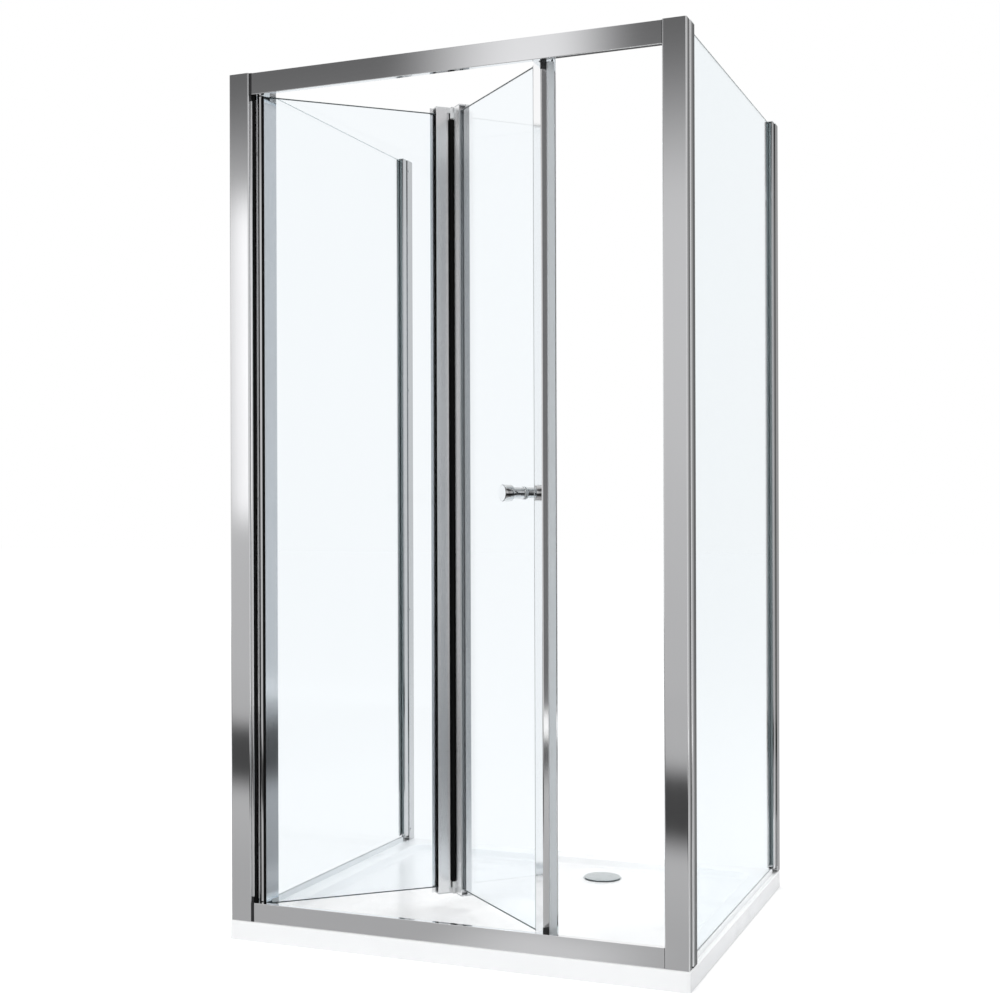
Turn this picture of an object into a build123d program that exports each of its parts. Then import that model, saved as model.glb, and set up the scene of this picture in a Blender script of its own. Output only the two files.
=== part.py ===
from build123d import *
import os

os.makedirs("parts", exist_ok=True)

# Driving sizes, in millimetres. The origin is under the middle of the tray, the front faces -Y.

# Shower tray
tray_width = 1000.0
tray_depth = 900.0
tray_height = 40.0
tray_corner_radius = 9.0
tray_edge_round = 4.0
rim_side = 62.0
rim_front = 70.0
rim_rear = 60.0
basin_depth = 15.0
basin_corner_radius = 45.0
basin_side_slope = 40.0
basin_foot_round = 9.0
fall_depth = 4.0
fall_radius = 88.0
waste_x = 102.0
waste_y = 284.0

# Waste
waste_flange_diameter = 92.0
waste_flange_thickness = 3.0
waste_tail_wall = 3.0
waste_lip_width = 3.7
waste_lip_height = 3.0
waste_outlet_diameter = 46.0
waste_seal_thickness = 2.0
waste_cover_diameter = 86.0
waste_cover_dome = 5.0
waste_cover_rim = 2.0
waste_cover_lift = 2.0
waste_cover_sheet = 1.2
waste_cover_legs = 4
waste_leg_length = 10.0
waste_leg_width = 8.0
waste_foot_length = 9.0

# Enclosure
enclosure_height = 1800.0
frame_setback = 4.0
post_side_setback = 3.0
post_width = 48.0
post_depth = 25.0
post_round = 3.0
alloy_wall = 1.6
screw_port_width = 8.4
screw_port_bore = 2.1
post_cap_thickness = 1.5

# Header and sill rails
header_height = 47.0
header_drop = 1.0
header_track_height = 28.0
sill_height = 40.0
sill_track_height = 16.0
fascia_depth = 12.0
rail_depth = 48.0
track_slot_width = 12.0
left_gap = 7.5
bracket_recess = 0.8
bracket_plug_length = 26.0
bracket_tail = 13.0
bracket_tail_width = 5.0

# Door leaves
leaf_setback = 5.0
leaf_thickness = 28.0
closing_stile_depth = 34.0
leaf_end_clearance = 3.0
stile_overrun = 15.0
glass_thickness = 6.0
glass_front_inset = 3.0
glass_rebate = 11.0
pivot_depth = 14.0
jamb_clearance = 0.4
fold_angle = 44.0
closed_gap = 1.7
guide_inset = 11.0

# Stile sections
pivot_flange_length = 29.0
pivot_rebate = 6.0
pivot_edge_gap = 0.5
fold_stile_width = 33.0
fold_half_gap = 5.0
fold_knuckle_radius = 7.0
fold_back_lip = 11.0
closing_stile_width = 35.0
gasket_lip = 2.2
stile_cap_thickness = 3.0
stile_corner_round = 2.0
closing_tab_height = 28.0
closing_tab_thickness = 3.0

# Pins and lugs
pivot_pin_diameter = 8.0
guide_pin_diameter = 6.0
fold_pin_diameter = 5.0
fold_lug_radius = 4.6
fold_lug_height = 12.0
fold_lug_gap = 0.4
fold_pin_length = 26.0
fold_pin_head = 1.0
running_clearance = 0.05
body_clearance = 0.3
strip_gap = 0.03

# Guide shoes and pivot blocks
shoe_length = 34.0
shoe_head_height = 8.0
shoe_head_width = 20.0
pivot_block_length = 16.0
pivot_block_height = 12.0

# Jambs and seals
jamb_web = 1.6
jamb_flange_width = 6.0
jamb_flange_depth = 8.0
jamb_front = 3.0
jamb_seal_width = 4.6
jamb_seal_depth = 7.0
magnet_width = 6.2
magnet_depth = 12.0
closing_seal_thickness = 3.0
closing_seal_offset = 13.5
closing_seal_width = 15.5
fold_gasket_depth = 9.0
fold_bead_radius = 4.4

# Side panels
channel_width = 27.0
channel_overhang = 1.5
front_channel_depth = 31.0
channel_foot_height = 3.0
glazing_round = 2.0
wall_channel_depth = 30.0
glazing_profile_depth = 37.0
rear_profile_total = 53.0
rear_profile_lift = 13.0
panel_glass_edge = 13.0
panel_glass_lift = 6.0
panel_glass_drop = 5.0
panel_lip = 6.0
bottom_seal_height = 12.0
bottom_seal_wall = 2.0
setting_block_length = 10.0
panel_screw_count = 4
profile_screw_end = 28.0
profile_screw_offset = 8.0
wall_screw_count = 4
wall_screw_end = 60.0
wall_screw_hole = 5.0
screw_shank = 4.0
screw_sides = 8
screw_head_diameter = 8.0
screw_head_height = 2.4
frame_screw_end = 120.0
frame_screw_offset = 4.4

# Knob
knob_height = 905.0
knob_from_stile = 55.0
knob_cap_diameter = 34.0
knob_cap_length = 20.0
knob_neck_diameter = 24.0
knob_neck_length = 26.0
knob_cap_bevel = 2.5
knob_washer_thickness = 1.5
knob_hole_diameter = 8.0
knob_stud_diameter = 6.0
knob_stud_grip = 13.5

# Levels
tray_top = tray_height
frame_top = tray_top + enclosure_height
header_top = frame_top - header_drop
header_bottom = frame_top - header_height
header_track_bottom = header_top - header_track_height
sill_top = tray_top + sill_height
sill_track_top = tray_top + sill_track_height
stile_top = header_track_bottom - leaf_end_clearance
stile_bottom = sill_track_top + leaf_end_clearance
glass_top = stile_top - stile_overrun
glass_bottom = stile_bottom + stile_overrun

# Planes across the front
face_y = -tray_depth / 2 + frame_setback
wall_y = tray_depth / 2
post_outer_x = tray_width / 2 - post_side_setback
post_inner_x = post_outer_x - post_width
leaf_face_y = face_y + fascia_depth + leaf_setback
pivot_y = leaf_face_y + pivot_depth
rail_left_x = -post_inner_x + left_gap
rail_right_x = post_inner_x
track_y = pivot_y

# Linkage, closed: pivot, fold and guide axes
pivot_x = -post_inner_x + jamb_web + jamb_clearance + pivot_depth
magnet_x = post_inner_x - jamb_web - magnet_width
leaf_end_x = magnet_x - closed_gap - closing_seal_thickness
guide_x = leaf_end_x - guide_inset
fold_x = (pivot_x + guide_x) / 2
glass_t0 = glass_front_inset
glass_t1 = glass_front_inset + glass_thickness
slot_t0 = glass_t0 - 1.2
slot_t1 = glass_t1 + 1.2

# Side panel planes, for the right side
channel_outer_x = post_outer_x + channel_overhang
channel_inner_x = channel_outer_x - channel_width
panel_mid_x = channel_outer_x - channel_width / 2
front_channel_y0 = face_y + post_depth
front_channel_y1 = front_channel_y0 + front_channel_depth
glazing_y0 = wall_y - rear_profile_total
glazing_y1 = glazing_y0 + glazing_profile_depth
panel_y0 = front_channel_y1 - panel_glass_edge
panel_y1 = glazing_y0 + panel_glass_edge
panel_z0 = tray_top + panel_glass_lift
panel_z1 = frame_top - panel_glass_drop


def save(shape, name):
    export_step(shape, f"parts/{name}.step")


def rect(x0, y0, x1, y1):
    return Pos((x0 + x1) / 2, (y0 + y1) / 2) * Rectangle(abs(x1 - x0), abs(y1 - y0))


def rounded(x0, y0, x1, y1, radius):
    return Pos((x0 + x1) / 2, (y0 + y1) / 2) * RectangleRounded(abs(x1 - x0), abs(y1 - y0), radius)


def disc(x, y, radius):
    return Pos(x, y) * Circle(radius)


def rise(sketch, z0, z1):
    return Pos(0, 0, z0) * extrude(sketch, amount=z1 - z0)


def run(sketch, x0, x1):
    return extrude(Plane.YZ.offset(x0) * sketch, amount=x1 - x0)


def block(x0, y0, z0, x1, y1, z1):
    return rise(rect(x0, y0, x1, y1), z0, z1)


def rod(x, y, z0, z1, radius):
    return rise(disc(x, y, radius), z0, z1)


def prism(radius, z0, z1):
    return rise(RegularPolygon(radius, screw_sides), z0, z1)


def mirrored(shape):
    return mirror(shape, about=Plane.YZ)


def swing(shape, x, y, angle):
    return Pos(x, y, 0) * Rot(0, 0, angle) * Pos(-x, -y, 0) * shape


def on_leaf_1(shape):
    return swing(shape, pivot_x, pivot_y, fold_angle)


def on_leaf_2(shape):
    return on_leaf_1(swing(shape, fold_x, leaf_face_y, -2 * fold_angle))


def on_guide(shape):
    return on_leaf_2(swing(shape, guide_x, pivot_y, fold_angle))


def group(shapes):
    return Compound(children=list(shapes))


# Tray and waste

def floor_level():
    return tray_top - basin_depth


def waste_level():
    return floor_level() - fall_depth


def shower_tray():
    outline = RectangleRounded(tray_width, tray_depth, tray_corner_radius)
    body = extrude(outline, amount=tray_height)
    opening = rounded(-tray_width / 2 + rim_side, -tray_depth / 2 + rim_front,
                      tray_width / 2 - rim_side, tray_depth / 2 - rim_rear, basin_corner_radius)
    body -= Pos(0, 0, tray_top) * extrude(opening, amount=-basin_depth, taper=basin_side_slope)
    body = fillet(body.edges().group_by(Axis.Z)[-1], tray_edge_round)
    floor = body.faces().filter_by(Plane.XY).sort_by(Axis.Z)[1]
    body = fillet(floor.edges(), basin_foot_round)
    fall = Pos(waste_x, waste_y, waste_level() + fall_depth / 2)
    body -= fall * Cone(waste_flange_diameter / 2, fall_radius, fall_depth)
    seat_depth = waste_flange_thickness + waste_seal_thickness
    seat_radius = waste_flange_diameter / 2 + body_clearance
    body -= rod(waste_x, waste_y, waste_level() - seat_depth, waste_level() + 1, seat_radius)
    body -= rod(waste_x, waste_y, -1, tray_top, waste_tail_radius() + body_clearance)
    return body


def waste_bore_radius():
    return waste_outlet_diameter / 2 + waste_lip_width


def waste_tail_radius():
    return waste_bore_radius() + waste_tail_wall


def waste_flange():
    top = waste_level()
    ring = rod(waste_x, waste_y, top - waste_flange_thickness, top, waste_flange_diameter / 2)
    tail = rod(waste_x, waste_y, 0, top - waste_flange_thickness, waste_tail_radius())
    body = ring + tail - rod(waste_x, waste_y, waste_lip_height, top + 1, waste_bore_radius())
    return body - rod(waste_x, waste_y, -1, waste_lip_height + 1, waste_outlet_diameter / 2)


def waste_seal():
    top = waste_level() - waste_flange_thickness
    ring = rod(waste_x, waste_y, top - waste_seal_thickness, top, waste_flange_diameter / 2)
    return ring - rod(waste_x, waste_y, 0, tray_top, waste_tail_radius() + body_clearance)


def waste_cover():
    rest = waste_level() + body_clearance
    radius = waste_cover_diameter / 2
    skirt = rest + waste_cover_lift
    brim = skirt + waste_cover_rim
    ceiling = brim - waste_cover_sheet
    body = rod(0, 0, skirt, brim, radius) - rod(0, 0, skirt - 1, ceiling, radius - waste_cover_sheet)
    level = brim
    for outer, inner in ((1, 0.6), (0.6, 0.1)):
        height = waste_cover_dome * (outer ** 2 - inner ** 2)
        body += Pos(0, 0, level + height / 2) * Cone(outer * radius, inner * radius, height)
        level += height
    reach = waste_bore_radius() - 2 * body_clearance
    root = reach - 2 * waste_cover_sheet
    half = waste_leg_width / 2
    leg = block(root, -half, rest - waste_leg_length, reach - 1, half, ceiling)
    leg += block(root, -half, rest, root + waste_foot_length, half, ceiling)
    for index in range(waste_cover_legs):
        body += Rot(0, 0, index * 360 / waste_cover_legs) * leg
    return Pos(waste_x, waste_y, 0) * body


# Corner posts

def corner_post():
    x0 = post_inner_x
    x1 = post_outer_x
    y0 = face_y
    y1 = face_y + post_depth
    section = rounded(x0, y0, x1, y1, post_round)
    section -= rect(x0 + alloy_wall, y0 + alloy_wall, x1 - alloy_wall, y1 - alloy_wall)
    half = screw_port_width / 2
    for x in (x0 + half, x1 - half):
        section += rounded(x0, y0, x1, y1, post_round) & rect(x - half, y1 - 2 * half, x + half, y1)
    for x in (x0 + half, x1 - half):
        section -= Pos(x, y1 - half) * RegularPolygon(screw_port_bore, screw_sides)
    body = rise(section, tray_top, frame_top - post_cap_thickness)
    return body - frame_screw_holes(screw_shank / 2)


def post_cap():
    x0 = post_inner_x
    x1 = post_outer_x
    y0 = face_y
    y1 = face_y + post_depth
    z = frame_top - post_cap_thickness
    plate = rise(rounded(x0, y0, x1, y1, post_round), z, frame_top)
    inset = alloy_wall + body_clearance
    reach = screw_port_width + body_clearance
    plug = block(x0 + reach, y0 + inset, z - 14, x1 - reach, y1 - inset, z)
    return plate + plug


# Header and sill

def rail_section(level, height, track_height, way):
    back = face_y + rail_depth
    step = face_y + fascia_depth
    end = level + way * height
    shelf = level + way * track_height
    wall = alloy_wall
    section = rect(face_y, level, step, end) + rect(step, level, back, shelf)
    section -= rect(face_y + wall, level + way * wall, step - wall, end - way * wall)
    section -= rect(step, level + way * wall, back - wall, shelf - way * wall)
    half = track_slot_width / 2
    return section - rect(track_y - half, shelf - way * 2 * wall, track_y + half, shelf + way)


def header_rail():
    section = rail_section(header_top, header_top - header_bottom, header_track_height, -1)
    body = run(section, rail_left_x, rail_right_x)
    edges = body.edges().filter_by(Axis.X).filter_by(lambda e: abs(e.center().Y - face_y) < 0.01)
    return fillet(edges, 1.2)


def sill_rail():
    section = rail_section(tray_top, sill_height, sill_track_height, 1)
    body = run(section, rail_left_x, rail_right_x)
    edges = body.edges().filter_by(Axis.X).filter_by(lambda e: abs(e.center().Y - face_y) < 0.01)
    return fillet(edges, 1.2)


def bracket_plug(x0, x1, z0, z1):
    inset = alloy_wall + body_clearance
    return block(x0, face_y + inset, z0 + inset, x1, face_y + fascia_depth - inset, z1 - inset)


def corner_brackets():
    parts = []
    x0 = -post_inner_x
    x1 = rail_left_x
    y0 = face_y + bracket_recess
    y1 = face_y + fascia_depth
    y2 = face_y + rail_depth - 2
    sill = (tray_top, sill_top, 1, sill_track_top)
    header = (header_top, header_bottom, -1, header_track_bottom)
    for z0, z1, way, track in (sill, header):
        low = min(z0, z1)
        high = max(z0, z1)
        plate = block(x0, y0, low, x1, y1, high)
        plate += block(x0, y1, min(z0, track), x1, y2, max(z0, track))
        tail = block(x0, face_y + jamb_front, min(z1, z1 + way * bracket_tail),
                     x0 + bracket_tail_width, face_y + jamb_front + jamb_flange_depth,
                     max(z1, z1 + way * bracket_tail))
        parts.append(plate + tail + bracket_plug(x1, x1 + bracket_plug_length, low, high))
        parts.append(bracket_plug(rail_right_x - bracket_plug_length, rail_right_x, low, high))
    return group(parts)


# Jambs, seals and bearings

def jamb_leg(side):
    x0 = side * post_inner_x
    x1 = side * channel_inner_x
    y0 = face_y + fascia_depth + body_clearance
    y1 = face_y + rail_depth - 2
    section = rect(x0, y1 - jamb_web, x1, y1) + rect(x0, y0, x0 - side * jamb_web, y1)
    return rise(section, sill_track_top + body_clearance, header_track_bottom - body_clearance)


def hinge_jamb():
    x0 = -post_inner_x
    y1 = face_y + rail_depth - 2
    flange_y1 = face_y + jamb_front + jamb_flange_depth
    section = rounded(x0, face_y + jamb_front, x0 + jamb_flange_width, flange_y1, 2.2)
    section += rect(x0, flange_y1 - 4, x0 + jamb_flange_width, flange_y1)
    section -= rect(x0 + 1.2, face_y + jamb_front + 1.2, x0 + jamb_flange_width - 1.2, flange_y1 - 1.2)
    section += rect(x0, flange_y1 - 1, x0 + jamb_web, y1)
    body = rise(section, sill_top, header_bottom) + jamb_leg(-1)
    for z0, z1 in ((sill_top, sill_top + bracket_tail), (header_bottom - bracket_tail, header_bottom)):
        body -= block(x0, face_y, z0, x0 + jamb_flange_width + 1, flange_y1, z1)
    return body - mirrored(frame_screw_holes(screw_shank / 2 + body_clearance))


def strike_jamb():
    x0 = post_inner_x - jamb_web
    y0 = face_y + fascia_depth
    y1 = face_y + rail_depth - 2
    section = rect(x0, y0, post_inner_x, y1)
    for side in (-1, 1):
        rib = track_y + magnet_offset() + side * (magnet_depth / 2 + 0.6)
        section += rect(x0 - 3, rib - 0.6, x0, rib + 0.6)
    body = rise(section, sill_top, header_bottom) + jamb_leg(1)
    return body - frame_screw_holes(screw_shank / 2 + body_clearance)


def magnet_offset():
    return closing_seal_offset + closing_seal_width / 2 - pivot_depth


def jamb_seal():
    x0 = -post_inner_x + jamb_flange_width
    y0 = face_y + jamb_front + 2
    y1 = y0 + jamb_seal_depth
    outline = Polyline(
        (x0, y0), (x0 + jamb_seal_width, y0 + 1.5), (x0 + jamb_seal_width, y1 - 3), (x0 + 1.2, y1),
        (x0 - 0.6, y1), (x0, y0 + 6), close=True
    )
    return rise(make_face(outline), sill_top + body_clearance, header_bottom - body_clearance)


def strike_magnet():
    y = track_y + magnet_offset()
    section = rounded(magnet_x, y - magnet_depth / 2, magnet_x + magnet_width, y + magnet_depth / 2, 1)
    return rise(section, sill_top, header_bottom)


def pivot_block(shelf, way):
    half = pivot_block_length / 2
    inner = shelf - way * (alloy_wall + body_clearance)
    head = block(pivot_x - half, track_y - shoe_head_width / 2, inner,
                 pivot_x + half, track_y + shoe_head_width / 2, inner - way * pivot_block_height)
    neck_half = track_slot_width / 2 - body_clearance
    radius = pivot_pin_diameter / 2 + running_clearance
    neck = block(pivot_x - half, track_y - neck_half, shelf, pivot_x + half, track_y + neck_half, inner)
    bore = rod(pivot_x, track_y, min(shelf, inner - way * 10) - 1, max(shelf, inner - way * 10) + 1, radius)
    return head + neck - bore


def frame_screw_places():
    low = sill_top + frame_screw_end
    high = header_bottom - frame_screw_end
    y = face_y + fascia_depth + frame_screw_offset
    return [Pos(post_inner_x - jamb_web, y, z) for z in (low, (low + high) / 2, high)]


def frame_screw_holes(radius):
    hole = Rot(0, -90, 0) * prism(radius, -alloy_wall - jamb_web, 0.1)
    return group([place * hole for place in frame_screw_places()])


def cross_screw(grip):
    head = prism(screw_head_diameter / 2, 0, screw_head_height)
    return Rot(0, -90, 0) * (head + prism(screw_shank / 2, -grip, 0))


def frame_screws():
    screw = cross_screw(alloy_wall + jamb_web)
    return both_sides([place * screw for place in frame_screw_places()])


# Side panels, drawn on the right side

def soft_corner(section, x, y, radius):
    corner = section.vertices().sort_by_distance(Vector(x, y, 0))[0]
    return fillet([corner], radius)


def front_channel_outline():
    outline = rect(channel_inner_x, front_channel_y0, channel_outer_x, front_channel_y1)
    return soft_corner(outline, channel_outer_x, front_channel_y0, post_round)


def front_channel():
    x0 = channel_inner_x
    x1 = channel_outer_x
    y0 = front_channel_y0
    y1 = front_channel_y1
    section = front_channel_outline() - rect(x0 + alloy_wall, y0 + alloy_wall, x1 - alloy_wall, panel_y0 - 3)
    section -= rect(x0 + alloy_wall, panel_y0 - 1.4, x1 - alloy_wall, y1 - alloy_wall)
    section -= rect(x0 + panel_lip, panel_y0, x1 - panel_lip, y1)
    return rise(section, tray_top + channel_foot_height, frame_top - post_cap_thickness)


def channel_foot():
    slot = glass_thickness / 2 + 1 + body_clearance
    slot_y0 = panel_y0 - body_clearance
    section = front_channel_outline()
    section -= rect(panel_mid_x - slot, slot_y0, panel_mid_x + slot, front_channel_y1)
    return rise(section, tray_top, tray_top + channel_foot_height)


def glazing_profile():
    inset = alloy_wall + body_clearance
    x0 = channel_inner_x + inset
    x1 = channel_outer_x - inset
    y0 = glazing_y0
    y1 = glazing_y1
    lip = panel_lip - inset
    stop = panel_y1 + 1.5
    section = soft_corner(rect(x0, y0, x1, y1), x1, y0, glazing_round)
    section -= rect(x0 + alloy_wall, y0 + alloy_wall, x1 - alloy_wall, stop)
    section -= rect(x0 + lip, y0, x1 - lip, stop)
    section -= rect(x0 + alloy_wall, stop + alloy_wall, x1 - alloy_wall, y1)
    body = rise(section, tray_top + rear_profile_lift, frame_top - post_cap_thickness)
    return body - profile_screw_holes(screw_shank / 2)


def wall_screw_levels():
    low = tray_top + wall_screw_end
    high = frame_top - wall_screw_end
    step = (high - low) / (wall_screw_count - 1)
    return [low + index * step for index in range(wall_screw_count)]


def wall_channel():
    x0 = channel_inner_x
    x1 = channel_outer_x
    y0 = wall_y - wall_channel_depth
    section = rect(x0, y0, x1, wall_y)
    section -= rect(x0 + alloy_wall, y0, x1 - alloy_wall, wall_y - alloy_wall)
    for x in (x0, x1):
        way = 1 if x == x0 else -1
        section += rect(x, y0, x + way * (alloy_wall + body_clearance), y0 + 2)
    body = rise(section, tray_top, frame_top - post_cap_thickness)
    for z in wall_screw_levels():
        body -= Pos(panel_mid_x, wall_y, z) * Rot(90, 0, 0) * Cylinder(wall_screw_hole / 2, 8)
    return body - profile_screw_holes(screw_shank / 2 + body_clearance)


def panel_glass():
    section = rect(panel_mid_x - glass_thickness / 2, panel_y0, panel_mid_x + glass_thickness / 2, panel_y1)
    body = rise(section, panel_z0, panel_z1)
    return chamfer(body.edges().filter_by(Axis.Y), 0.6)


def panel_gaskets():
    parts = []
    half = glass_thickness / 2
    reach = channel_width / 2 - panel_lip
    for y0, y1 in ((front_channel_y1 - 7, front_channel_y1 + 1), (glazing_y0 - 1, glazing_y0 + 7)):
        for side in (-1, 1):
            x0 = panel_mid_x + side * half
            x1 = panel_mid_x + side * reach
            z0 = max(panel_z0, tray_top + rear_profile_lift) + 8
            parts.append(rise(rect(x0, y0, x1, y1), z0, panel_z1))
    return group(parts)


def bottom_seal():
    half = glass_thickness / 2
    outer = half + bottom_seal_wall
    section = rect(panel_mid_x - outer, 0, panel_mid_x + outer, bottom_seal_height)
    section -= rect(panel_mid_x - half, panel_glass_lift, panel_mid_x + half, bottom_seal_height)
    y0 = front_channel_y1 + body_clearance
    y1 = glazing_y0 - body_clearance
    body = extrude(Plane.XZ.offset(-y0) * section, amount=-(y1 - y0))
    return Pos(0, 0, tray_top) * body


def setting_blocks():
    parts = []
    half = glass_thickness / 2 + 1
    for y in (panel_y0 + 2, panel_y1 - 2 - setting_block_length):
        end = y + setting_block_length
        parts.append(block(panel_mid_x - half, y, tray_top, panel_mid_x + half, end, panel_z0))
    return parts


def channel_caps():
    z = frame_top - post_cap_thickness
    front = rise(front_channel_outline(), z, frame_top)
    rear = rise(rect(channel_inner_x, wall_y - wall_channel_depth, channel_outer_x, wall_y), z, frame_top)
    inset = alloy_wall + body_clearance
    nose = rect(channel_inner_x + inset, glazing_y0, channel_outer_x - inset, wall_y - wall_channel_depth)
    return [front, rear + rise(nose, z, frame_top)]


def profile_screw_places():
    y = wall_y - wall_channel_depth + profile_screw_offset
    low = tray_top + profile_screw_end
    high = frame_top - profile_screw_end
    step = (high - low) / (panel_screw_count - 1)
    return [Pos(channel_inner_x, y, low + index * step) for index in range(panel_screw_count)]


def profile_screw_grip():
    return alloy_wall + body_clearance + alloy_wall


def profile_screw_holes(radius):
    hole = Rot(0, -90, 0) * prism(radius, -profile_screw_grip(), 0.1)
    return group([place * hole for place in profile_screw_places()])


def profile_screws():
    return [place * cross_screw(profile_screw_grip()) for place in profile_screw_places()]


# Leaf 1, drawn closed

def in_leaf(section):
    return rise(section, stile_bottom + stile_cap_thickness, stile_top - stile_cap_thickness)


def pivot_stile_section():
    x = pivot_x
    y = leaf_face_y
    inner = alloy_wall
    nose = disc(x, y + pivot_depth, pivot_depth) & rect(x - 2 * pivot_depth, y, x, y + leaf_thickness)
    section = nose + rect(x, y, x + pivot_flange_length, y + leaf_thickness)
    section -= rect(x - pivot_rebate, y - 1, x + pivot_flange_length + 1, y + slot_t1)
    section -= rect(x - 2, y + slot_t1 + inner, x + pivot_flange_length - inner, y + leaf_thickness - inner)
    return section - disc(x, y + pivot_depth, pivot_pin_diameter / 2)


def pivot_stile():
    return in_leaf(pivot_stile_section()) - pivot_cap_tab(True) - pivot_cap_tab(False)


def pivot_cap_tab(top):
    x1 = pivot_x + pivot_flange_length
    y0 = leaf_face_y + slot_t1
    z1 = stile_top - stile_cap_thickness if top else stile_bottom + stile_cap_thickness + 22
    return block(x1 - 14, y0, z1 - 22, x1, leaf_face_y + leaf_thickness, z1)


def pivot_cap(top):
    x = pivot_x
    y = leaf_face_y
    outline = disc(x, y + pivot_depth, pivot_depth) & rect(x - 2 * pivot_depth, y, x, y + leaf_thickness)
    outline += rect(x, y + slot_t1, x + pivot_flange_length, y + leaf_thickness)
    z0 = stile_top - stile_cap_thickness if top else stile_bottom
    body = rise(outline, z0, z0 + stile_cap_thickness) + pivot_cap_tab(top)
    level = stile_top - 30 if top else stile_bottom
    inner = alloy_wall + body_clearance
    plug = rect(x - 1.5, y + slot_t1 + inner, x + pivot_flange_length - 14, y + leaf_thickness - inner)
    body += rise(plug, level, level + 30)
    bore = level + 4 if top else level - 1
    return body - rod(x, pivot_y, bore, bore + 27, pivot_pin_diameter / 2)


def leaf_1_caps():
    return group([pivot_cap(True), pivot_cap(False), fold_cap(-1, True), fold_cap(-1, False)])


def pivot_pins():
    reach = 10.5
    top = rod(pivot_x, pivot_y, stile_top - 26, header_track_bottom + reach, pivot_pin_diameter / 2)
    bottom = rod(pivot_x, pivot_y, sill_track_top - reach, stile_bottom + 26, pivot_pin_diameter / 2)
    return group([top, bottom])


def leaf_1_glass():
    x0 = pivot_x - pivot_rebate + pivot_edge_gap
    x1 = fold_x - fold_half_gap - fold_stile_width + glass_rebate
    section = rect(x0, leaf_face_y + glass_t0, x1, leaf_face_y + glass_t1)
    body = rise(section, glass_bottom, glass_top)
    return chamfer(body.edges().filter_by(Axis.X), 0.6)


# Fold stiles, side -1 on leaf 1 and +1 on leaf 2

def fold_stile_section(side):
    x0 = fold_x + side * fold_half_gap
    x1 = x0 + side * fold_stile_width
    y = leaf_face_y
    wall = alloy_wall
    depth = glass_rebate + 1
    section = rect(x0, y, x1, y + leaf_thickness)
    section = soft_corner(section, x0, y, fold_knuckle_radius)
    section = soft_corner(section, x0, y + leaf_thickness, stile_corner_round)
    section += rect(x1, y + slot_t1, x1 + side * fold_back_lip, y + slot_t1 + wall)
    section -= rect(x1, y + slot_t0, x1 - side * depth, y + slot_t1)
    section -= rect(x1 - side * wall, y + slot_t1 + wall, x1 - side * depth, y + leaf_thickness - wall)
    chamber_x0 = x0 + side * wall
    chamber_x1 = x1 - side * (depth + wall)
    chamber_y1 = y + leaf_thickness - wall
    return section - rounded(chamber_x0, y + wall, chamber_x1, chamber_y1, fold_knuckle_radius - wall)


def fold_stile(side):
    return in_leaf(fold_stile_section(side))


def fold_lug_level(side, top):
    first = stile_top - fold_lug_height if top else stile_bottom
    shift = fold_lug_height + fold_lug_gap
    if side > 0:
        first += -shift if top else shift
    return first


def fold_cap(side, top):
    x0 = fold_x + side * fold_half_gap
    x1 = x0 + side * fold_stile_width
    y = leaf_face_y
    outline = soft_corner(rect(x0, y, x1, y + leaf_thickness), x0, y, fold_knuckle_radius)
    z0 = stile_top - stile_cap_thickness if top else stile_bottom
    body = rise(outline, z0, z0 + stile_cap_thickness)
    inner = alloy_wall + body_clearance + 0.3 * (fold_knuckle_radius - alloy_wall)
    plug_x1 = x1 - side * (glass_rebate + 1 + inner)
    level = stile_top - fold_pin_length if top else stile_bottom
    plug = rect(x0 + side * inner, y + inner, plug_x1, y + leaf_thickness - inner)
    body += rise(plug, level, level + fold_pin_length)
    return body + fold_lug(side, top)


def fold_lug(side, top):
    z0 = fold_lug_level(side, top)
    z1 = z0 + fold_lug_height
    y = leaf_face_y
    tongue = rect(fold_x, y + 0.2, fold_x + side * (fold_half_gap + 7), y + fold_lug_radius)
    outline = disc(fold_x, y, fold_lug_radius) + tongue
    fit = running_clearance if side > 0 else 0
    lug = rise(outline, z0, z1) - rod(fold_x, y, z0 - 1, z1 + 1, fold_pin_diameter / 2 + fit)
    return lug


def fold_stile_cut(side):
    stile = fold_stile(side)
    for top in (True, False):
        z0 = fold_lug_level(side, top)
        x0 = fold_x + side * (fold_half_gap - 1)
        x1 = fold_x + side * (fold_half_gap + 7)
        y = leaf_face_y
        stile -= block(x0, y - 1, z0, x1, y + fold_lug_radius, z0 + fold_lug_height)
    return stile


def fold_pins():
    y = leaf_face_y
    head = fold_lug_radius - 1
    top = rod(fold_x, y, stile_top - fold_pin_length, stile_top, fold_pin_diameter / 2)
    top += rod(fold_x, y, stile_top, stile_top + fold_pin_head, head)
    bottom = rod(fold_x, y, stile_bottom, stile_bottom + fold_pin_length, fold_pin_diameter / 2)
    bottom += rod(fold_x, y, stile_bottom - fold_pin_head, stile_bottom, head)
    return group([top, bottom])


def fold_gasket(side):
    x0 = fold_x + side * body_clearance
    x1 = fold_x + side * fold_half_gap
    y = leaf_face_y
    margin = fold_pin_length + 1
    outline = Polyline(
        (x0, y + 0.6), (x1 + side * 1.6, y + 2.2), (x1 + side * 0.2, y + 4.5), (x1, y + fold_knuckle_radius),
        (x1, y + fold_gasket_depth + 6), (x1 - side * 1.5, y + fold_gasket_depth + 6),
        (x0 + side * 0.8, y + fold_gasket_depth), close=True
    )
    section = make_face(outline)
    if side < 0:
        section += disc(fold_x, y, fold_bead_radius)
    else:
        section -= disc(fold_x, y, fold_bead_radius + body_clearance)
    section -= disc(x1 + side * fold_knuckle_radius, y + fold_knuckle_radius, fold_knuckle_radius)
    behind = y + fold_lug_radius + 2 * body_clearance
    tail = section & rect(fold_x, behind, x1 + side * fold_gasket_depth, y + leaf_thickness)
    return rise(section, stile_bottom + margin, stile_top - margin) + rise(tail, stile_bottom, stile_top)


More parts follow.
